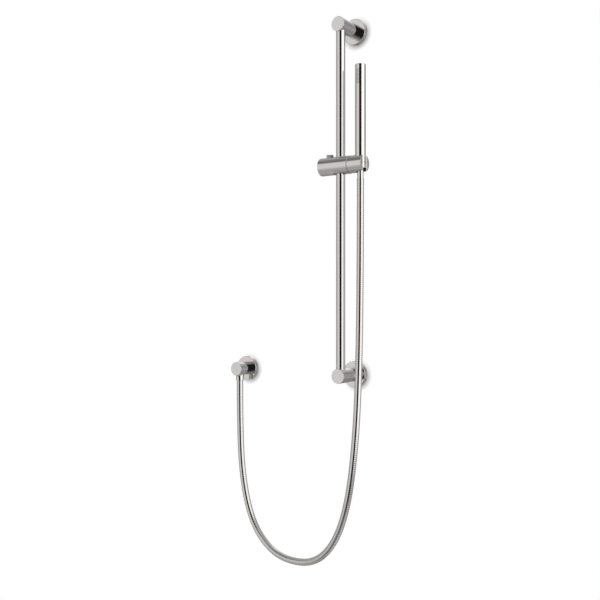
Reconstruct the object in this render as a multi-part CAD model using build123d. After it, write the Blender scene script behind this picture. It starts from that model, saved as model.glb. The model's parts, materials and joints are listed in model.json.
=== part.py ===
from build123d import *
import os
from math import tan, radians, cos, pi

# Hand shower on a wall slide bar. Millimetres, +Z up, the wall is the plane Y = 0 and everything stands
# out of it towards -Y. The origin is the centre of the lower bracket's flange, on the wall.

# Driving dimensions
RAIL_SPACING = 660.0    # centre distance of the two brackets
RAIL_D = 17.6
RAIL_Y = -56.9          # rail axis in front of the wall
RAIL_WALL = 1.5
POST_D = 27.8
POST_REACH = 67.7       # front face of a bracket post in front of the wall
FLANGE_D = 49.5
FLANGE_T = 9.2
OUTLET_X = -263.0       # water outlet, left of the rail
OUTLET_REACH = 43.5
SPOUT_Y = -30.7         # axis of the outlet's downward port
SLIDER_Z = 395.7        # slider axis at rest
SLIDER_D = 34.0
SLIDER_LEFT = -42.2
SEAM_X = 20.9           # right face of the slider body
HOLDER_END = 52.3
HOLDER_D = 33.2
WASHER_T = 1.6
SLEEVE_D = 26.8
SLEEVE_HALF = 15.1      # half the sleeve's height
RING_D = 22.0           # outside of the glide rings
BATON_X = 42.9          # hand shower axis
BATON_D = 20.3
BATON_TOP = 579.0
BATON_BOTTOM = 397.4
CAP_H = 8.0
PANEL_W = 8.6
PANEL_H = 30.4
PANEL_SUNK = 0.1        # depth of the spray plate's face below the tube's
NUT_SHOULDER = 386.8    # the nut's step, which sits on the holder's ledge
NECK_D = 12.1
NECK_BOTTOM = 368.4
SLOT_W = 16.5
SEAT_D = 22.3           # counterbore that holds the seat
SEAT_WALL = 1.2
SEAT_END = 50.0         # right end of the seat, short of the holder's rim
NUT_SEAM = 0.8          # open joint between nut and tube
BUTTON_X = -23.7
BUTTON_D = 13.4
BUTTON_TOP = 417.4
BUTTON_BOTTOM = 390.5
WELL_FLOOR = 383.0
COLLAR_D = 16.6
COLLAR_BOTTOM = -24.3
SPOUT_BOTTOM = -19.0
SPOUT_BORE = 13.4
HOSE_D = 13.6
THREAD_D = 14.8         # the hand shower's plain stand-in for its thread
THREAD_END = 390.4
FITTING_TOP = 412.0
WATERWAY_TOP = 536.0

FIT = 0.05              # radial clearance of a running fit
GAP = 0.3               # space between pieces that move apart
PLATE_T = 4.0
PLATE_D = 43.0
SCREW_SPACING = 34.0
SCREW_HOLE_D = 4.6
BASE_D = 20.0
BASE_REACH = 34.0
SOCKET_DEPTH = 9.0      # how far the rail runs past a post's axis
WIRE_D = 0.7

BATON_AXIS = (BATON_X, RAIL_Y)
PANEL_TOP = BATON_TOP - CAP_H
PANEL_BACK = RAIL_Y - (BATON_D**2 / 4 - PANEL_W**2 / 4) ** 0.5 + 1.6
TUBE_BORE = BATON_D - 3.2
HOLDER_START = SEAM_X + WASHER_T

# Centreline of the hose, from the hand shower's nut round its hanging loop to the outlet
HOSE_ROUTE = [
    (BATON_X, RAIL_Y, NECK_BOTTOM), (BATON_X, RAIL_Y, 306.0), (42.2, -56.9, 177.9), (40.0, -56.5, 38.5),
    (33.6, -56.0, -104.9), (15.7, -55.0, -240.4), (-18.7, -52.6, -325.7), (-73.6, -46.4, -370.5),
    (-151.6, -40.4, -373.0), (-205.4, -34.6, -343.2), (-238.8, -32.2, -291.0), (-258.1, -31.0, -206.0),
    (OUTLET_X, SPOUT_Y, -100.0), (OUTLET_X, SPOUT_Y, COLLAR_BOTTOM),
]


def rod(start, end, diameter):
    """A round bar from start to end."""
    start, end = Vector(*start), Vector(*end)
    bar = Cylinder(diameter / 2, (end - start).length, align=(Align.CENTER, Align.CENTER, Align.MIN))
    return Plane(origin=start, z_dir=end - start) * bar


def tube(start, end, outer, inner):
    """A round bar with a bore right through it."""
    return rod(start, end, outer) - rod(start, end, inner)


def block(low, high):
    """A box between two corners."""
    low, high = Vector(*low), Vector(*high)
    size = high - low
    return Pos(*(low + high) * 0.5) * Box(size.X, size.Y, size.Z)


def round_rim(part, centre, diameter, size):
    """Rounds the circular edge of this diameter about this centre."""
    rims = [
        edge for edge in part.edges().filter_by(GeomType.CIRCLE)
        if abs(edge.radius - diameter / 2) < 0.01 and (edge.arc_center - Vector(*centre)).length < 0.01
    ]
    return fillet(rims, size)


def coil(start, end, mean_d, turns, wire=WIRE_D):
    """A helical spring between two points, wire centre to wire centre."""
    start, end = Vector(*start), Vector(*end)
    frame = Plane(origin=start, z_dir=end - start)
    length = (end - start).length
    path = Helix(length / turns, length, mean_d / 2)
    section = Plane(origin=path @ 0, z_dir=path % 0) * Circle(wire / 2)
    return frame * sweep(section, path=path, is_frenet=True)


# Brackets, one at each end of the rail

def wall_base(z):
    """Plate screwed to the wall, with the spigot that carries the post."""
    base = rod((0, 0, z), (0, -PLATE_T, z), PLATE_D) + rod((0, 0, z), (0, -BASE_REACH, z), BASE_D)
    base -= rod((0, -PLATE_T, z), (0, -BASE_REACH, z), BASE_D - 8)
    for side in (-1, 1):
        x = side * SCREW_SPACING / 2
        base -= rod((x, 0, z), (x, -PLATE_T, z), SCREW_HOLE_D)
    return base


def post(z, inward):
    """Round arm over the wall base; inward is +1 if the rail leaves it upwards and -1 if downwards."""
    arm = round_rim(rod((0, -PLATE_T - GAP, z), (0, -POST_REACH, z), POST_D), (0, -POST_REACH, z), POST_D, 0.6)
    arm -= rod((0, -PLATE_T - GAP, z), (0, -BASE_REACH - 0.5, z), BASE_D + 2 * FIT)
    arm -= rod((0, RAIL_Y, z - inward * (SOCKET_DEPTH + GAP)), (0, RAIL_Y, z + inward * POST_D), RAIL_D + 2 * FIT)
    arm -= rod((0, -BASE_REACH, z), (0, RAIL_Y, z), 5.0)
    arm -= rod((0, -22, z), (0, -22, z - POST_D), 4.0)
    return arm


def flange(x, z, hole=POST_D):
    """Round cover over a wall base, hollow behind."""
    cover = rod((x, 0, z), (x, -FLANGE_T, z), FLANGE_D)
    cover = round_rim(cover, (x, -FLANGE_T, z), FLANGE_D, 0.8)
    cover -= rod((x, 0, z), (x, -FLANGE_T + 2, z), PLATE_D + 1.0)
    return cover - rod((x, 0, z), (x, -FLANGE_T, z), hole + 4 * FIT)


def post_grub_screws():
    """One screw under each post, tightened on the wall base's spigot."""
    return [rod((0, -22, z - BASE_D / 2), (0, -22, z - BASE_D / 2 - 3.4), 3.9) for z in (0, RAIL_SPACING)]


def rail_lock_screws():
    """One screw inside each post, tightened on the rail's back."""
    return [rod((0, RAIL_Y + RAIL_D / 2, z), (0, -BASE_REACH - 1.5, z), 4.9) for z in (0, RAIL_SPACING)]


def rail_tube():
    bottom, top = -SOCKET_DEPTH, RAIL_SPACING + SOCKET_DEPTH
    return tube((0, RAIL_Y, bottom), (0, RAIL_Y, top), RAIL_D, RAIL_D - 2 * RAIL_WALL)


def rail_plugs():
    """Plugs in both ends of the rail, which the lock screws press against."""
    bore = RAIL_D - 2 * RAIL_WALL - 2 * FIT
    bottom, top = -SOCKET_DEPTH, RAIL_SPACING + SOCKET_DEPTH
    return [rod((0, RAIL_Y, z), (0, RAIL_Y, z + step), bore) for z, step in ((bottom, 18), (top, -18))]


# Slider

def slider_bores():
    """What is cut out of the slider body: rail sleeve, button well, brake bore and pivot hole."""
    axis = (RAIL_Y, SLIDER_Z)
    cuts = rod((0, RAIL_Y, SLIDER_Z - SLIDER_D), (0, RAIL_Y, SLIDER_Z + SLIDER_D), SLEEVE_D)
    cuts += rod((BUTTON_X, RAIL_Y, WELL_FLOOR), (BUTTON_X, RAIL_Y, SLIDER_Z + SLIDER_D), BUTTON_D + 2 * FIT)
    cuts += rod((SLIDER_LEFT, *axis), (0, *axis), 10.6)
    cuts += rod((SLIDER_LEFT, *axis), (SLIDER_LEFT + 3, *axis), 28.0)
    cuts += rod((0, *axis), (SEAM_X, *axis), 8.0)
    return cuts


def slider_body():
    body = rod((SLIDER_LEFT, RAIL_Y, SLIDER_Z), (SEAM_X, RAIL_Y, SLIDER_Z), SLIDER_D)
    body = round_rim(body, (SLIDER_LEFT, RAIL_Y, SLIDER_Z), SLIDER_D, 0.4)
    return body - slider_bores()


def slider_end_cap():
    """Flush disc that closes the brake bore at the left end."""
    inner = SLIDER_LEFT + 3
    return rod((SLIDER_LEFT, RAIL_Y, SLIDER_Z), (inner, RAIL_Y, SLIDER_Z), 28.0 - 2 * FIT)


def guide_sleeve():
    """Plastic sleeve round the rail, proud of the slider in front, with pockets for the glide rings."""
    low, high = SLIDER_Z - SLEEVE_HALF, SLIDER_Z + SLEEVE_HALF
    sleeve = tube((0, RAIL_Y, low), (0, RAIL_Y, high), SLEEVE_D - 2 * FIT, RAIL_D + 2 * GAP)
    for z in (SLIDER_Z - 10.2, SLIDER_Z + 6.2):
        sleeve -= rod((0, RAIL_Y, z), (0, RAIL_Y, z + 4), RING_D)
    return sleeve - rod((-SLEEVE_D, RAIL_Y, SLIDER_Z), (0, RAIL_Y, SLIDER_Z), 7.4)


def glide_rings():
    """Two rings that run on the rail inside the sleeve, and that the slider turns round."""
    rings = []
    for z in (SLIDER_Z - 10, SLIDER_Z + 6.4):
        rings.append(tube((0, RAIL_Y, z), (0, RAIL_Y, z + 3.6), RING_D - 2 * FIT, RAIL_D + 2 * FIT))
    return rings


def tilt_washer():
    """Thin plastic washer between slider and holder."""
    return tube((SEAM_X, RAIL_Y, SLIDER_Z), (HOLDER_START - 0.1, RAIL_Y, SLIDER_Z), SLIDER_D - 0.3, 8.4)


def release_button():
    """Round push button with a cross slot for the brake's stem."""
    button = rod((BUTTON_X, RAIL_Y, BUTTON_BOTTOM), (BUTTON_X, RAIL_Y, BUTTON_TOP), BUTTON_D)
    button = round_rim(button, (BUTTON_X, RAIL_Y, BUTTON_TOP), BUTTON_D, 0.7)
    half = BUTTON_D
    return button - block(
        (BUTTON_X - half, RAIL_Y - 2.4, BUTTON_BOTTOM), (BUTTON_X + half, RAIL_Y + 2.4, SLIDER_Z + 4.6)
    )


def button_spring():
    """Coil under the button, seated on the floor of its well."""
    return coil((BUTTON_X, RAIL_Y, WELL_FLOOR + 0.5), (BUTTON_X, RAIL_Y, BUTTON_BOTTOM - 0.6), 9.0, 4)


def brake_shoe():
    """Plunger that grips the rail: pad, guide collar, stem and spring collar."""
    axis = (RAIL_Y, SLIDER_Z)
    pad = -RAIL_D / 2 - GAP
    shoe = rod((pad, *axis), (pad - 5, *axis), 6.8) + rod((-13.7, *axis), (-16.2, *axis), 9.8)
    return shoe + rod((-16.2, *axis), (-31.2, *axis), 3.6) + rod((-31.2, *axis), (-33.0, *axis), 9.8)


def brake_spring():
    return coil((-33.5, RAIL_Y, SLIDER_Z), (-38.7, RAIL_Y, SLIDER_Z), 7.0, 3)


# Holder

def pivot_bolt():
    """Bolt fixed in the slider that the holder turns on."""
    axis = (RAIL_Y, SLIDER_Z)
    return rod((SLEEVE_D / 2 + 0.2, *axis), (SEAM_X, *axis), 8.0) + rod((SEAM_X, *axis), (31.0, *axis), 8.0)


def pivot_nut():
    """Locking ring on the end of the pivot bolt."""
    axis = (RAIL_Y, SLIDER_Z)
    return tube((28.6, *axis), (31.2, *axis), 12.0, 8.0)


def wave_washer():
    """Spring washer that gives the tilt its friction."""
    axis = (RAIL_Y, SLIDER_Z)
    return tube((27.4, *axis), (28.3, *axis), 12.0, 8.6)


def holder_slot(width, low, high):
    """U-shaped space about the hand shower's axis, open to the right."""
    half = width / 2
    return rod((*BATON_AXIS, low), (*BATON_AXIS, high), width) + block(
        (BATON_X, RAIL_Y - half, low), (HOLDER_END + HOLDER_D, RAIL_Y + half, high)
    )


def hand_shower_holder():
    """Turning end of the cylinder: a counterbore for the hand shower over a slot for the hose."""
    axis = (RAIL_Y, SLIDER_Z)
    holder = rod((HOLDER_START, *axis), (HOLDER_END, *axis), HOLDER_D)
    holder = round_rim(holder, (HOLDER_END, *axis), HOLDER_D, 0.6)
    low, high = SLIDER_Z - HOLDER_D, SLIDER_Z + HOLDER_D
    holder -= holder_slot(SLOT_W, low, high)
    holder -= rod((*BATON_AXIS, NUT_SHOULDER - SEAT_WALL), (*BATON_AXIS, high), SEAT_D)
    holder -= rod((HOLDER_START, *axis), (BATON_X, *axis), 8.0 + 2 * FIT)
    return holder - rod((27.0, *axis), (BATON_X, *axis), 13.0)


def holder_seat():
    """Rubber liner: sleeve round the nut, ledge under the nut's step, and lining of the hose's slot."""
    axis = (RAIL_Y, SLIDER_Z)
    low, high = SLIDER_Z - HOLDER_D, SLIDER_Z + HOLDER_D
    ledge = NUT_SHOULDER - GAP
    sleeve = rod((*BATON_AXIS, NUT_SHOULDER - SEAT_WALL), (*BATON_AXIS, high), SEAT_D - 2 * FIT)
    sleeve -= rod((*BATON_AXIS, ledge), (*BATON_AXIS, high), BATON_D + 2 * GAP)
    sleeve -= holder_slot(SLOT_W, ledge, high)
    liner = sleeve + holder_slot(SLOT_W - 2 * FIT, low, ledge) - holder_slot(SLOT_W - 2 * SEAT_WALL, low, high)
    return liner & rod((HOLDER_START, *axis), (SEAT_END, *axis), HOLDER_D - SEAT_WALL)


# Hand shower

def window(depth_from, depth_to):
    """The spray opening in the front of the tube, between two depths."""
    half = PANEL_W / 2
    return block(
        (BATON_X - half, depth_from, PANEL_TOP - PANEL_H), (BATON_X + half, depth_to, PANEL_TOP)
    )


def handset_tube():
    body = tube((*BATON_AXIS, BATON_BOTTOM + NUT_SEAM / 2), (*BATON_AXIS, PANEL_TOP), BATON_D, TUBE_BORE)
    return body - window(RAIL_Y - BATON_D, RAIL_Y)


def handset_cap():
    """Closed top of the tube, with a skirt inside it."""
    cap = rod((*BATON_AXIS, PANEL_TOP), (*BATON_AXIS, BATON_TOP), BATON_D)
    cap = round_rim(cap, (*BATON_AXIS, BATON_TOP), BATON_D, 0.8)
    return cap - rod((*BATON_AXIS, PANEL_TOP), (*BATON_AXIS, BATON_TOP - 2), TUBE_BORE - 4)


def jets():
    """Centres of the spray holes, across and up the plate."""
    rows, columns = 11, 3
    for row in range(rows):
        for column in range(columns):
            yield BATON_X + (column - 1) * 2.4, PANEL_TOP - PANEL_H / 2 + (row - (rows - 1) / 2) * 2.5


def spray_plate():
    """Face of the spray window, round like the tube, drilled for the jets."""
    face = rod((*BATON_AXIS, PANEL_TOP - PANEL_H), (*BATON_AXIS, PANEL_TOP), BATON_D - 2 * PANEL_SUNK)
    plate = face & window(RAIL_Y - BATON_D, PANEL_BACK)
    for x, z in jets():
        plate -= rod((x, RAIL_Y - BATON_D, z), (x, PANEL_BACK, z), 1.3)
    return plate


def nozzle_insert():
    """Rubber mat behind the plate, with one nub in each hole."""
    mat = window(PANEL_BACK, PANEL_BACK + 1.2)
    for x, z in jets():
        mat += rod((x, PANEL_BACK + 0.2, z), (x, PANEL_BACK - 1.9, z), 1.1)
    return mat


def spray_chamber():
    """Plastic box that feeds the nozzles from the waterway."""
    front = PANEL_BACK + 1.2
    shell = rod((*BATON_AXIS, WATERWAY_TOP), (*BATON_AXIS, PANEL_TOP - 0.2), TUBE_BORE - 0.4)
    shell -= block((BATON_X - 20, RAIL_Y - 20, 530.0), (BATON_X + 20, front, BATON_TOP))
    shell -= block((BATON_X - 3.4, front - 1, 543.0), (BATON_X + 3.4, RAIL_Y + 4, PANEL_TOP - 2.5))
    return shell - rod((*BATON_AXIS, WATERWAY_TOP), (*BATON_AXIS, WATERWAY_TOP + 10), 7.0)


def waterway():
    return tube((*BATON_AXIS, FITTING_TOP), (*BATON_AXIS, WATERWAY_TOP), 10.0, 7.0)


def bottom_fitting():
    """Threaded end of the hand shower, sealed in the tube's lower end."""
    shoulder = BATON_BOTTOM + NUT_SEAM / 2
    fitting = rod((*BATON_AXIS, shoulder), (*BATON_AXIS, FITTING_TOP), TUBE_BORE)
    fitting += rod((*BATON_AXIS, THREAD_END), (*BATON_AXIS, shoulder), THREAD_D)
    fitting -= rod((*BATON_AXIS, THREAD_END), (*BATON_AXIS, FITTING_TOP), 7.0)
    return fitting - tube((*BATON_AXIS, 404.0), (*BATON_AXIS, 406.4), TUBE_BORE + 1, TUBE_BORE - 3.2)


def fitting_seal():
    """O-ring between fitting and tube."""
    ring = Torus(TUBE_BORE / 2 - 0.85, 0.75)
    return Pos(*BATON_AXIS, 405.2) * ring


def flow_restrictor():
    """Small disc with a metering hole in the fitting's bore."""
    return tube((*BATON_AXIS, 392.0), (*BATON_AXIS, 395.0), 7.0 - 2 * FIT, 2.2)


def hose_nut():
    """Wide smooth collar screwed to the hand shower, and slim neck over the hose's end."""
    nut = rod((*BATON_AXIS, NUT_SHOULDER), (*BATON_AXIS, BATON_BOTTOM - NUT_SEAM / 2), BATON_D)
    nut = round_rim(nut, (*BATON_AXIS, NUT_SHOULDER), BATON_D, 0.5)
    nut += rod((*BATON_AXIS, NECK_BOTTOM), (*BATON_AXIS, NUT_SHOULDER + 1), NECK_D)
    nut -= rod((*BATON_AXIS, 388.6), (*BATON_AXIS, BATON_BOTTOM), THREAD_D + 2 * FIT)
    return nut - rod((*BATON_AXIS, NECK_BOTTOM), (*BATON_AXIS, 389.0), 9.4)


def nut_washer():
    return tube((*BATON_AXIS, 388.7), (*BATON_AXIS, THREAD_END - 0.1), 14.4, 7.2)


def ferrule(x, y, low, high):
    """Brass tube crimped in a hose end."""
    return tube((x, y, low), (x, y, high), 9.2, 6.4)


# Water outlet

def outlet_body():
    """Round elbow: threaded inlet at the wall, closed front, and a short spout that flares into it."""
    x = OUTLET_X
    body = rod((x, -1.0, 0), (x, -OUTLET_REACH, 0), POST_D)
    body = round_rim(body, (x, -OUTLET_REACH, 0), POST_D, 0.6)
    body += rod((x, SPOUT_Y, 0), (x, SPOUT_Y, SPOUT_BOTTOM), COLLAR_D)
    corner = [e for e in body.edges() if SPOUT_BOTTOM < e.center().Z < -COLLAR_D / 2 and e.length > COLLAR_D]
    body = fillet(corner, 2.4)
    body -= rod((x, -1.0, 0), (x, -14.0, 0), 18.6)
    body -= rod((x, -14.0, 0), (x, SPOUT_Y, 0), 11.0)
    body -= rod((x, SPOUT_Y, 0), (x, SPOUT_Y, SPOUT_BOTTOM), 12.0)
    return body - rod((x, SPOUT_Y, -9.4), (x, SPOUT_Y, SPOUT_BOTTOM), SPOUT_BORE + 2 * FIT)


def valve_seat():
    """Ring that the check valve's poppet closes from below."""
    return tube((OUTLET_X, SPOUT_Y, -1.0), (OUTLET_X, SPOUT_Y, -3.0), 12.0 - 2 * FIT, 6.0)


def valve_poppet():
    """Disc with a guided stem; water pushes it down off its seat."""
    disc = rod((OUTLET_X, SPOUT_Y, -3.1), (OUTLET_X, SPOUT_Y, -4.6), 8.8)
    return disc + rod((OUTLET_X, SPOUT_Y, -4.6), (OUTLET_X, SPOUT_Y, -16.0), 2.0)


def valve_spring():
    return coil((OUTLET_X, SPOUT_Y, -5.1), (OUTLET_X, SPOUT_Y, -12.6), 5.0, 4)


def outlet_spigot():
    """Short tube under the check valve, with a web that guides the poppet's stem."""
    x, y = OUTLET_X, SPOUT_Y
    spigot = tube((x, y, -6.8), (x, y, -19.4), 12.0 - 2 * FIT, 9.0)
    web = block((x - 4.7, y - 1.6, -15.0), (x + 4.7, y + 1.6, -13.0))
    return spigot + (web - rod((x, y, -12.0), (x, y, -16.0), 2.0 + 2 * FIT))


def outlet_washer():
    return tube((OUTLET_X, SPOUT_Y, -19.5), (OUTLET_X, SPOUT_Y, -21.0), 11.6, 7.0)


def hose_collar():
    """Round collar at the hose's end, with a thinner part that screws into the spout."""
    x, y = OUTLET_X, SPOUT_Y
    collar = rod((x, y, SPOUT_BOTTOM - 0.1), (x, y, COLLAR_BOTTOM), COLLAR_D)
    collar = round_rim(collar, (x, y, COLLAR_BOTTOM), COLLAR_D, 0.6)
    collar += rod((x, y, -9.5), (x, y, SPOUT_BOTTOM - 0.5), SPOUT_BORE)
    collar -= rod((x, y, -9.5), (x, y, -21.1), 12.0)
    return collar - rod((x, y, -21.1), (x, y, COLLAR_BOTTOM), 9.4)


def outlet_seal():
    """Rubber ring that seals the cover to the elbow."""
    centre = (OUTLET_X, -3.4, 0)
    ring = Torus(POST_D / 2 + 1.1, 0.95)
    return Plane(origin=centre, z_dir=(0, 1, 0)) * ring


# Hose

def hose():
    """Round tube along the route, with an arc at each point as large as its two runs allow."""
    points = [Vector(*p) for p in HOSE_ROUTE]
    radii = []
    for before, here, after in zip(points, points[1:], points[2:]):
        turn = (here - before).get_angle(after - here)
        shorter = min((here - before).length, (after - here).length)
        radii.append(0.45 * shorter / tan(radians(turn / 2)))
    path = FilletPolyline(*points, radius=radii)
    section = Plane(origin=points[0], z_dir=points[1] - points[0]) * Circle(HOSE_D / 2)
    solid = sweep(section, path=path)
    print("hose radii", [round(r) for r in radii], "length", round(path.length, 1))
    print("hose volume", round(solid.volume), "section x length", round(path.length * pi * HOSE_D**2 / 4))
    return solid


NODES = {
    "lower_wall_base": wall_base(0),
    "upper_wall_base": wall_base(RAIL_SPACING),
    "lower_post": post(0, 1),
    "upper_post": post(RAIL_SPACING, -1),
    "lower_flange": flange(0, 0),
    "upper_flange": flange(0, RAIL_SPACING),
    "post_grub_screws": post_grub_screws(),
    "rail_lock_screws": rail_lock_screws(),
    "rail_tube": rail_tube(),
    "rail_plugs": rail_plugs(),
    "slider_body": slider_body(),
    "slider_end_cap": slider_end_cap(),
    "guide_sleeve": guide_sleeve(),
    "glide_rings": glide_rings(),
    "tilt_washer": tilt_washer(),
    "release_button": release_button(),
    "button_spring": button_spring(),
    "brake_shoe": brake_shoe(),
    "brake_spring": brake_spring(),
    "pivot_bolt": pivot_bolt(),
    "pivot_nut": pivot_nut(),
    "wave_washer": wave_washer(),
    "hand_shower_holder": hand_shower_holder(),
    "holder_seat": holder_seat(),
    "handset_tube": handset_tube(),
    "handset_cap": handset_cap(),
    "spray_plate": spray_plate(),
    "nozzle_insert": nozzle_insert(),
    "spray_chamber": spray_chamber(),
    "waterway": waterway(),
    "bottom_fitting": bottom_fitting(),
    "fitting_seal": fitting_seal(),
    "flow_restrictor": flow_restrictor(),
    "hose_nut": hose_nut(),
    "nut_washer": nut_washer(),
    "handset_ferrule": ferrule(*BATON_AXIS, NECK_BOTTOM + 0.1, 388.6),
    "outlet_ferrule": ferrule(OUTLET_X, SPOUT_Y, COLLAR_BOTTOM + 0.1, -21.1),
    "outlet_body": outlet_body(),
    "outlet_flange": flange(OUTLET_X, 0),
    "outlet_seal": outlet_seal(),
    "valve_seat": valve_seat(),
    "valve_poppet": valve_poppet(),
    "valve_spring": valve_spring(),
    "outlet_spigot": outlet_spigot(),
    "outlet_washer": outlet_washer(),
    "hose_collar": hose_collar(),
    "hose": hose(),
}

os.makedirs("parts", exist_ok=True)
for name, shape in NODES.items():
    if isinstance(shape, list):
        shape = Compound(children=[Part(piece.wrapped) for piece in shape])
    export_step(shape, f"parts/{name}.step")
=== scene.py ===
import json
from bisect import bisect_right
from math import cos, pi, radians, sin

import bpy
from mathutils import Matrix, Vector


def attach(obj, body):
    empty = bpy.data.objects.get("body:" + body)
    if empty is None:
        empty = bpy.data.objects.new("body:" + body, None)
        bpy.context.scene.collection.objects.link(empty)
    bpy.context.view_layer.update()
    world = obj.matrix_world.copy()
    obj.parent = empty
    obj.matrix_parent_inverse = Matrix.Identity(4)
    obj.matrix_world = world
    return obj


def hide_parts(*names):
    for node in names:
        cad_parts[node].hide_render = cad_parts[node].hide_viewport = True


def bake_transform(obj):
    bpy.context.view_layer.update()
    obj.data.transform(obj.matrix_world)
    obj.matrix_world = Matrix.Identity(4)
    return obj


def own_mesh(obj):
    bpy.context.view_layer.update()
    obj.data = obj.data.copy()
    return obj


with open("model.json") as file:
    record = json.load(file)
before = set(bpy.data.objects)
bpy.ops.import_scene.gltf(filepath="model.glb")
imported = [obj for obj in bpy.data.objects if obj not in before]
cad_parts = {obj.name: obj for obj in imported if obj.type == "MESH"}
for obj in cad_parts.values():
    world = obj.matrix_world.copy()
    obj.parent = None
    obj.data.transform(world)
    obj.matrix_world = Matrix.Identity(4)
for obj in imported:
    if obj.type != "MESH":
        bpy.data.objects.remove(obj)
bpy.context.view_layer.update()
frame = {"nodes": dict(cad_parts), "record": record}

# Metres. The wall is the plane Y = 0, the rail stands in front of it at X = 0, +Z is up.
RAIL_Y = -0.0569
BATON_X = 0.0429        # hand shower axis
OUTLET_X = -0.263
SPOUT_Y = -0.0307       # axis of the outlet's downward port
NECK_BOTTOM = 0.3684    # where the hose leaves the nut
COLLAR_BOTTOM = -0.0243     # where it goes into the outlet

# X and Z of the ten inner points are the rounded result of a least-squares fit, not chosen by hand
HOSE_ROUTE = [
    (BATON_X, RAIL_Y, NECK_BOTTOM), (BATON_X, RAIL_Y, 0.306), (0.0422, -0.0569, 0.1779), (0.040, -0.0565, 0.0385),
    (0.0336, -0.056, -0.1049), (0.0157, -0.055, -0.2404), (-0.0187, -0.0526, -0.3257),
    (-0.0736, -0.0464, -0.3705), (-0.1516, -0.0404, -0.373), (-0.2054, -0.0346, -0.3432),
    (-0.2388, -0.0322, -0.291), (-0.2581, -0.031, -0.206), (OUTLET_X, SPOUT_Y, -0.100),
    (OUTLET_X, SPOUT_Y, COLLAR_BOTTOM),
]
HOSE_R = 0.0068
RIB_PITCH = 0.00374
RIB_CROWN = 0.00005     # how far the wound strip falls off from its middle to its edge
RIB_GROOVE = 0.0004     # depth of the joint between two turns
RIB_EDGE = 0.88         # where the strip ends, as a share of the way from its middle to the next turn
RIB_SLOPE = 0.06        # width of the groove's side on the same scale
RIB_ROWS = (0, 0.03, 0.06, 0.085, 0.3, 0.5, 0.7, 0.915, 0.94, 0.97)    # mesh rows across one turn
RIB_SIDES = 32          # mesh points round the hose

# The hose is one length, cut where it passes from one moving body to the next
CUT_LIFT = 0.020    # below the nut: between holder and hand shower
CUT_TILT = 0.102    # then between slider and holder
CUT_SWING = 0.308   # then between rail guide and slider; the rest hangs to the outlet

CAMERA_AT = (0.8265, -1.39017, 0.14303)
CAMERA_YAW = 34.59  # degrees
CAMERA_LENS = 50.0  # mm on a 36 mm sensor


# Materials

def new_material(name, colour, metallic=0.0, roughness=0.5):
    """A Principled material and its shader node."""
    material = bpy.data.materials.new(name)
    material.use_nodes = True
    shader = material.node_tree.nodes["Principled BSDF"]
    shader.inputs["Base Color"].default_value = (*colour, 1)
    shader.inputs["Metallic"].default_value = metallic
    shader.inputs["Roughness"].default_value = roughness
    return material, shader


def noise(material, scale, detail=3.0):
    """Noise in the object's own coordinates, which are metres."""
    nodes, links = material.node_tree.nodes, material.node_tree.links
    place = nodes.new("ShaderNodeTexCoord")
    texture = nodes.new("ShaderNodeTexNoise")
    texture.inputs["Scale"].default_value = scale
    texture.inputs["Detail"].default_value = detail
    links.new(place.outputs["Object"], texture.inputs["Vector"])
    return texture.outputs["Fac"]


def vary(material, socket, fac, low, high):
    """Drives a shader number between low and high by a texture."""
    span = material.node_tree.nodes.new("ShaderNodeMapRange")
    span.inputs["From Min"].default_value = 0.3
    span.inputs["From Max"].default_value = 0.7
    span.inputs["To Min"].default_value = low
    span.inputs["To Max"].default_value = high
    material.node_tree.links.new(fac, span.inputs["Value"])
    material.node_tree.links.new(span.outputs["Result"], socket)


def tint(material, shader, fac, first, second):
    """Drives the base colour between two colours by a texture."""
    ramp = material.node_tree.nodes.new("ShaderNodeValToRGB")
    ramp.color_ramp.elements[0].position, ramp.color_ramp.elements[1].position = 0.35, 0.65
    ramp.color_ramp.elements[0].color = (*first, 1)
    ramp.color_ramp.elements[1].color = (*second, 1)
    material.node_tree.links.new(fac, ramp.inputs["Fac"])
    material.node_tree.links.new(ramp.outputs["Color"], shader.inputs["Base Color"])


def bump(material, shader, height, strength, distance):
    node = material.node_tree.nodes.new("ShaderNodeBump")
    node.inputs["Strength"].default_value = strength
    node.inputs["Distance"].default_value = distance
    material.node_tree.links.new(height, node.inputs["Height"])
    material.node_tree.links.new(node.outputs["Normal"], shader.inputs["Normal"])


def metal(name, colour, shade, roughness, grain=0.0):
    """Bare or plated metal: slow changes of tint and polish, and a fine grain where it is cast or drawn."""
    material, shader = new_material(name, colour, metallic=1.0)
    tint(material, shader, noise(material, 18), colour, shade)
    vary(material, shader.inputs["Roughness"], noise(material, 60, 6), *roughness)
    if grain:
        bump(material, shader, noise(material, 2500, 4), grain, 0.0001)
    return material


def wound_metal(name, colour, groove_shade_colour, roughness):
    """Plated strip with painted shade: its colour is darker down in the joints between its turns, and its polish
    varies slowly all over.
    """
    material, shader = new_material(name, colour, metallic=1.0)
    # Painted shade: the joints' mask darkens the base colour towards the shade colour.
    joint = material.node_tree.nodes.new("ShaderNodeAttribute")
    joint.attribute_name = "groove"
    tint(material, shader, joint.outputs["Fac"], colour, groove_shade_colour)
    vary(material, shader.inputs["Roughness"], noise(material, 60, 6), *roughness)
    return material


def moulded(name, colour, shade, roughness, grain):
    """Moulded plastic or rubber with a spark-eroded texture."""
    material, shader = new_material(name, colour)
    tint(material, shader, noise(material, 40), colour, shade)
    vary(material, shader.inputs["Roughness"], noise(material, 90, 5), *roughness)
    bump(material, shader, noise(material, 3500, 5), grain, 0.0001)
    return material


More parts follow.
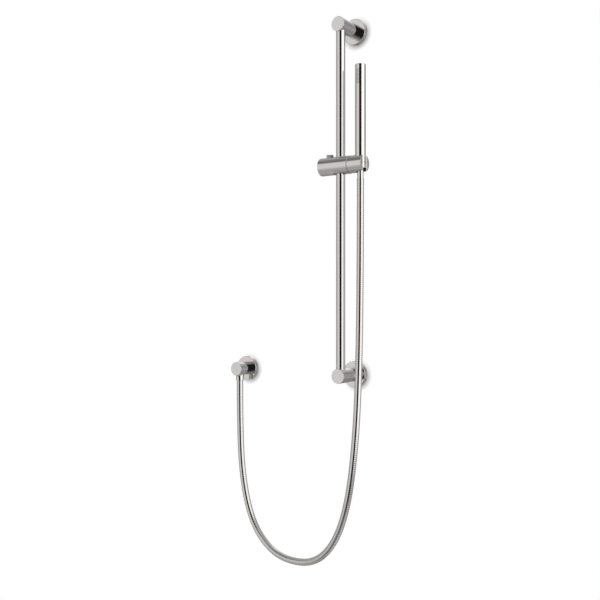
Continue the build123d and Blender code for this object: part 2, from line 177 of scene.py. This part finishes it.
NICKEL = (0.805, 0.78, 0.76)
NICKEL_SHADE = (0.795, 0.768, 0.746)
MATERIALS = {
    "polished_nickel": metal("polished_nickel", NICKEL, NICKEL_SHADE, (0.02, 0.045)),
    # The hose's second colour is painted shade down in the joints between the turns.
    "hose_metal": wound_metal("hose_metal", NICKEL, (0.66, 0.64, 0.625), (0.05, 0.10)),
    "steel": metal("steel", (0.60, 0.60, 0.59), (0.55, 0.55, 0.54), (0.22, 0.34), 0.2),
    "brass": metal("brass", (0.78, 0.58, 0.28), (0.72, 0.52, 0.24), (0.18, 0.30), 0.15),
    "cast_zinc": metal("cast_zinc", (0.45, 0.45, 0.45), (0.38, 0.38, 0.39), (0.45, 0.62), 0.6),
    "grey_plastic": moulded("grey_plastic", (0.145, 0.145, 0.145), (0.132, 0.132, 0.132), (0.38, 0.5), 0.15),
    "white_plastic": moulded("white_plastic", (0.78, 0.78, 0.76), (0.74, 0.74, 0.72), (0.35, 0.5), 0.1),
    "dark_rubber": moulded("dark_rubber", (0.028, 0.028, 0.028), (0.02, 0.02, 0.02), (0.55, 0.75), 0.3),
    "spray_face": metal("spray_face", (0.76, 0.735, 0.715), (0.74, 0.715, 0.695), (0.04, 0.07)),
}


def dress_cad_nodes():
    """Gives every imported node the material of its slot."""
    for part in frame["record"]["subparts"]:
        node = frame["nodes"][part["node"]]
        node.data.materials.clear()
        node.data.materials.append(MATERIALS[part["material_slot"]])


# Hose

def spline_points(route):
    """Points along the smooth line whose control points are the route."""
    curve = bpy.data.curves.new("hose_line", "CURVE")
    curve.dimensions = "3D"
    curve.resolution_u = 24
    line = curve.splines.new("NURBS")
    line.points.add(len(route) - 1)
    for point, place in zip(line.points, route):
        point.co = (*place, 1)
    line.order_u = 3
    line.use_endpoint_u = True
    holder = bpy.data.objects.new("hose_line", curve)
    mesh = bpy.data.meshes.new_from_object(holder)
    points = [vertex.co.copy() for vertex in mesh.vertices]
    bpy.data.objects.remove(holder)
    bpy.data.meshes.remove(mesh)
    return points


class Line:
    """A smooth line measured by length, with a frame that doesn't twist."""

    def __init__(self, points):
        self.points = points
        self.at = [0.0]
        for a, b in zip(points, points[1:]):
            self.at.append(self.at[-1] + (b - a).length)
        self.length = self.at[-1]
        tangents = [(b - a).normalized() for a, b in zip(points, points[1:])]
        self.tangents = [tangents[0]] + [(a + b).normalized() for a, b in zip(tangents, tangents[1:])]
        self.tangents.append(tangents[-1])
        normal = Vector((0, 1, 0)).cross(self.tangents[0]).normalized()
        self.normals = []
        for tangent in self.tangents:
            normal = (normal - tangent * normal.dot(tangent)).normalized()
            self.normals.append(normal)

    def place(self, s):
        """Point, normal and binormal at this length from the start."""
        i = min(max(bisect_right(self.at, s) - 1, 0), len(self.points) - 2)
        t = (s - self.at[i]) / (self.at[i + 1] - self.at[i])
        point = self.points[i].lerp(self.points[i + 1], t)
        tangent = self.tangents[i].lerp(self.tangents[i + 1], t).normalized()
        normal = self.normals[i].lerp(self.normals[i + 1], t)
        normal = (normal - tangent * normal.dot(tangent)).normalized()
        return point, normal, tangent.cross(normal)


def rib_groove(phase):
    """1 in the joint between two turns of the wound strip, 0 on the strip; also the mask of the painted shade in
    the joints.
    """
    across = abs(2 * (phase % 1.0) - 1)
    return min(1.0, max(0.0, (across - RIB_EDGE) / RIB_SLOPE))


def rib_height(phase):
    """Height of the wound strip across one turn: a gently crowned strip and a steep groove."""
    across = 2 * (phase % 1.0) - 1
    return -RIB_CROWN * across**2 - RIB_GROOVE * rib_groove(phase)


def hose_piece(name, line, start, end):
    """The hose's wound skin between two lengths from the nut, and the points that it follows."""
    vertices, groove_shade_mask, numbers, faces = [], [], {}, []

    def vertex(row, side):
        """Number of a vertex of the winding, which starts and ends square."""
        if side == RIB_SIDES:
            row, side = row + len(RIB_ROWS), 0
        turn, step = divmod(row, len(RIB_ROWS))
        round_at = side / RIB_SIDES
        s = min(max(RIB_PITCH * (turn + RIB_ROWS[step] + round_at), start), end)
        if (s, side) not in numbers:
            numbers[s, side] = len(vertices)
            point, normal, binormal = line.place(s)
            phase = s / RIB_PITCH - round_at
            out = normal * cos(2 * pi * round_at) + binormal * sin(2 * pi * round_at)
            vertices.append(point + out * (HOSE_R + rib_height(phase)))
            groove_shade_mask.append(rib_groove(phase))
        return numbers[s, side]

    first, last = int(start / RIB_PITCH) - 2, int(end / RIB_PITCH) + 2
    for row in range(first * len(RIB_ROWS), last * len(RIB_ROWS)):
        for side in range(RIB_SIDES):
            corners = (
                vertex(row, side), vertex(row, side + 1), vertex(row + 1, side + 1), vertex(row + 1, side),
            )
            corners = tuple(dict.fromkeys(corners))
            if len(corners) > 2:
                faces.append(corners)
    mesh = bpy.data.meshes.new(name)
    mesh.from_pydata(vertices, [], faces)
    mesh.shade_smooth()
    # Painted shade: each vertex keeps how far it is down in a joint, which darkens the hose's colour there.
    shade = mesh.color_attributes.new("groove", "FLOAT_COLOR", "POINT")
    for value, groove in zip(shade.data, groove_shade_mask):
        value.color = (groove, groove, groove, 1)
    mesh.materials.append(MATERIALS["hose_metal"])
    piece = bpy.data.objects.new(name, mesh)
    bpy.context.scene.collection.objects.link(piece)
    count = max(2, round((end - start) / RIB_PITCH))
    return piece, [line.place(start + (end - start) * i / count)[0] for i in range(count + 1)]


def build_hose():
    line = Line(spline_points(HOSE_ROUTE))
    cuts = [0.0, CUT_LIFT, CUT_TILT, CUT_SWING, line.length]
    names = ["hose_top", "hose_upper", "hose_middle", "hose_loop"]
    made = {n: hose_piece(n, line, a, b) for n, a, b in zip(names, cuts, cuts[1:])}
    level = [line.place(c)[0] for c in cuts]
    top, upper, middle, loop = (made[n][0] for n in names)
    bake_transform(top)
    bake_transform(upper)
    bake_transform(middle)
    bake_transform(loop)
    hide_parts("hose")
    print("hose length", round(line.length, 4))


# Springs: node, body, joint, the end that stays put, the direction they shorten in, and the share of their length
# left at the limit, which is a little less than the joint's travel leaves, so that they come clear
SPRINGS = [
    ("button_spring", "slider", "button_press", (-0.0237, RAIL_Y, 0.38315), (0, 0, 1), 0.70),
    ("brake_spring", "slider", "button_press", (-0.03905, RAIL_Y, 0.3957), (1, 0, 0), 0.88),
    ("valve_spring", "root", "check_valve_open", (OUTLET_X, SPOUT_Y, -0.01295), (0, 0, 1), 0.80),
]


def build_springs():
    """Copies of the spring coils, each carried by its body."""
    for node, body, joint, fixed_end, axis, keep in SPRINGS:
        packed = frame["nodes"][node]
        coil = bpy.data.objects.new(node + "_coil", packed.data.copy())
        coil.matrix_world = packed.matrix_world
        bpy.context.scene.collection.objects.link(coil)
        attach(coil, body)
        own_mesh(coil)
        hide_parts(node)


# Studio: a wall, a floor and the light round them

STUDIO_REACH = 2.5
FLOOR_Z = -0.85     # below the hose's loop when the slider is at its lowest
WALL_Y = 0.0005     # just behind the flanges

# Contact shadows on the wall: where its light comes from, how far they reach and how dark they are
SHADOW_LEAN = (-0.35, -0.75, 0.56)
SHADOW_REACH = 0.011
SHADOW_DEPTH = 0.95


def plane(name, corners, material):
    mesh = bpy.data.meshes.new(name)
    mesh.from_pydata([Vector(c) for c in corners], [], [tuple(range(len(corners)))])
    mesh.materials.append(material)
    made = bpy.data.objects.new(name, mesh)
    bpy.context.scene.collection.objects.link(made)
    return made


def wall_material():
    """Evenly lit white wall with soft contact shadows to the lower right, seen from the room's side only."""
    material = bpy.data.materials.new("studio_wall")
    material.use_nodes = True
    tree = material.node_tree
    tree.nodes.remove(tree.nodes["Principled BSDF"])
    lean = tree.nodes.new("ShaderNodeCombineXYZ")
    for socket, value in zip(lean.inputs, SHADOW_LEAN):
        socket.default_value = value
    shade = tree.nodes.new("ShaderNodeAmbientOcclusion")
    shade.samples = 16
    shade.inputs["Distance"].default_value = SHADOW_REACH
    tree.links.new(lean.outputs["Vector"], shade.inputs["Normal"])
    light = tree.nodes.new("ShaderNodeEmission")
    tree.links.new(calculate(tree, "POWER", shade.outputs["AO"], SHADOW_DEPTH), light.inputs["Strength"])
    side = tree.nodes.new("ShaderNodeNewGeometry")
    mix = tree.nodes.new("ShaderNodeMixShader")
    tree.links.new(side.outputs["Backfacing"], mix.inputs["Fac"])
    tree.links.new(light.outputs["Emission"], mix.inputs[1])
    tree.links.new(tree.nodes.new("ShaderNodeBsdfTransparent").outputs["BSDF"], mix.inputs[2])
    tree.links.new(mix.outputs["Shader"], tree.nodes["Material Output"].inputs["Surface"])
    return material


def studio():
    side, top = STUDIO_REACH, 2 * STUDIO_REACH
    wall = plane(
        "studio_wall",
        [(-side, WALL_Y, FLOOR_Z), (side, WALL_Y, FLOOR_Z), (side, WALL_Y, top), (-side, WALL_Y, top)],
        wall_material(),
    )
    wall.visible_glossy = False
    pale, _ = new_material("studio_floor", (0.80, 0.80, 0.80), roughness=0.9)
    floor = plane(
        "studio_floor",
        [(-side, -side, FLOOR_Z), (side, -side, FLOOR_Z), (side, side, FLOOR_Z), (-side, side, FLOOR_Z)],
        pale,
    )
    floor.visible_glossy = False


# Light round the object: soft boxes and grey cards, by compass angle from straight in front of the wall, positive
# to the right. Each list holds (degrees, brightness) for one height. The values were read off measured reflections,
# then adjusted by comparing renders.
HIGH = [(-180, 0.66), (-168, 0.84), (-158, 0.95), (-148, 0.50), (-128, 0.45), (-112, 0.45), (-92, 0.35),
        (-50, 0.18), (-36, 0.19), (0, 0.28), (24, 0.22), (58, 0.45), (84, 0.52), (122, 0.38), (148, 0.38),
        (168, 0.42), (180, 0.66)]
LEVEL = [(-180, 0.60), (-160, 0.60), (-150, 0.40), (-100, 0.42), (-60, 0.44), (-50, 0.66), (-38, 0.735),
         (0, 0.76), (48, 0.90), (54, 1.27), (100, 1.27), (119, 1.18), (121, 0.44), (136, 0.39), (144, 0.36),
         (152, 0.36), (168, 0.46), (180, 0.60)]
BELOW = [(-180, 0.25), (-164, 0.24), (-152, 0.14), (-142, 0.28), (-116, 0.44), (-60, 0.50), (-38, 0.57),
         (-28, 0.54), (-20, 0.38), (-12, 0.20), (0, 0.13), (40, 0.13), (62, 0.30), (110, 0.36), (148, 0.30),
         (164, 0.26), (180, 0.25)]
LOW = [(-180, 0.30), (-165, 0.30), (-138, 0.29), (-110, 0.42), (-60, 0.41), (-40, 0.41), (-14, 0.22),
       (24, 0.18), (60, 0.30), (90, 0.44), (165, 0.33), (180, 0.30)]
# How much of the next list takes over, by height
TO_BELOW = (-40, -28)
TO_LEVEL = (-26, -15)
TO_HIGH = (22, 40)
# Cards and strips in front of that: sides by compass angle, heights where the bottom and top edges fade, and
# brightness
CARDS = [
    ((2.5, 54.0), (-38, -26), (31, 39), 0.016),
    ((136.0, 172.0), (8, 12), (22, 27), 0.285),
    ((-170.0, -146.0), (10, 16), (34, 40), 1.0),
]
CARD_FADE = 0.5     # degrees that a card's sides fade over, each way


def ramp(tree, fac, stops):
    """Brightness over the compass angle."""
    node = tree.nodes.new("ShaderNodeValToRGB")
    elements = node.color_ramp.elements
    while len(elements) < len(stops):
        elements.new(0.5)
    for element, (angle, _) in zip(elements, stops):
        element.position = angle / 360 + 0.5
    for element, (_, value) in zip(elements, stops):
        element.color = (value, value, value, 1)
    tree.links.new(fac, node.inputs["Fac"])
    return node.outputs["Color"]


def calculate(tree, operation, *values):
    """A number worked out in the shader."""
    node = tree.nodes.new("ShaderNodeMath")
    node.operation = operation
    for socket, value in zip(node.inputs, values):
        if isinstance(value, (int, float)):
            socket.default_value = value
        else:
            tree.links.new(value, socket)
    return node.outputs["Value"]


def between(tree, value, limits, rising=True):
    """0 to 1 while the value, in radians, passes between two limits in degrees, or 1 to 0."""
    span = tree.nodes.new("ShaderNodeMapRange")
    span.interpolation_type = "SMOOTHSTEP"
    span.inputs["From Min"].default_value, span.inputs["From Max"].default_value = map(radians, limits)
    if not rising:
        span.inputs["To Min"].default_value, span.inputs["To Max"].default_value = 1, 0
    tree.links.new(value, span.inputs["Value"])
    return span.outputs["Result"]


def take_over(tree, share, first, second):
    """The first light, and as much of the second as the share says."""
    mix = tree.nodes.new("ShaderNodeMixRGB")
    tree.links.new(share, mix.inputs["Fac"])
    tree.links.new(first, mix.inputs["Color1"])
    if isinstance(second, tuple):
        mix.inputs["Color2"].default_value = second
    else:
        tree.links.new(second, mix.inputs["Color2"])
    return mix.outputs["Color"]


def card_area(tree, angle, height, sides, low, high):
    """1 on a card and 0 round it."""
    left, right = sides
    across = calculate(
        tree, "MULTIPLY",
        between(tree, angle, (left - CARD_FADE, left + CARD_FADE)),
        between(tree, angle, (right - CARD_FADE, right + CARD_FADE), rising=False),
    )
    upright = calculate(tree, "MULTIPLY", between(tree, height, low), between(tree, height, high, rising=False))
    return calculate(tree, "MULTIPLY", across, upright)


def world_light():
    """A studio for bright metal, and a plain pale background behind the wall's edges."""
    world = bpy.data.worlds.new("studio_light")
    bpy.context.scene.world = world
    world.use_nodes = True
    tree = world.node_tree
    parts = tree.nodes.new("ShaderNodeSeparateXYZ")
    tree.links.new(tree.nodes.new("ShaderNodeTexCoord").outputs["Generated"], parts.inputs["Vector"])
    x, y, z = parts.outputs
    angle = calculate(tree, "ARCTAN2", x, calculate(tree, "MULTIPLY", y, -1))
    compass = calculate(tree, "ADD", calculate(tree, "DIVIDE", angle, 2 * pi), 0.5)
    height = calculate(tree, "ARCSINE", z)
    level = take_over(
        tree, between(tree, height, TO_HIGH), ramp(tree, compass, LEVEL), ramp(tree, compass, HIGH)
    )
    below = take_over(
        tree, between(tree, height, TO_BELOW), ramp(tree, compass, LOW), ramp(tree, compass, BELOW)
    )
    room = take_over(tree, between(tree, height, TO_LEVEL), below, level)
    for sides, low, high, value in CARDS:
        room = take_over(tree, card_area(tree, angle, height, sides, low, high), room, (value, value, value, 1))
    light = tree.nodes["Background"]
    tree.links.new(room, light.inputs["Color"])
    pale = tree.nodes.new("ShaderNodeBackground")
    pale.inputs["Color"].default_value = (1, 1, 1, 1)
    seen = tree.nodes.new("ShaderNodeLightPath").outputs["Is Camera Ray"]
    both = tree.nodes.new("ShaderNodeMixShader")
    tree.links.new(seen, both.inputs["Fac"])
    tree.links.new(light.outputs["Background"], both.inputs[1])
    tree.links.new(pale.outputs["Background"], both.inputs[2])
    tree.links.new(both.outputs["Shader"], tree.nodes["World Output"].inputs["Surface"])


def soft_light(name, place, aim, width, height, power):
    """A large light that bright metal doesn't mirror; the soft boxes that it mirrors are in the world."""
    lamp = bpy.data.lights.new(name, "AREA")
    lamp.shape = "RECTANGLE"
    lamp.size, lamp.size_y = width, height
    lamp.energy = power
    made = bpy.data.objects.new(name, lamp)
    made.location = place
    made.rotation_euler = (Vector(aim) - Vector(place)).to_track_quat("-Z", "Y").to_euler()
    made.visible_glossy = False
    made.visible_camera = False
    bpy.context.scene.collection.objects.link(made)


def camera():
    lens = bpy.data.cameras.new("camera")
    lens.lens = CAMERA_LENS
    lens.sensor_width = 36.0
    made = bpy.data.objects.new("camera", lens)
    made.location = CAMERA_AT
    made.rotation_euler = (pi / 2, 0, radians(CAMERA_YAW))
    bpy.context.scene.collection.objects.link(made)
    bpy.context.scene.camera = made


camera()
dress_cad_nodes()
build_hose()
build_springs()
studio()
world_light()
soft_light("key_light", place=(-0.6, -1.9, 2.4), aim=(0, 0, 0.1), width=6.0, height=3.0, power=300)
bpy.context.scene.view_settings.view_transform = "Standard"
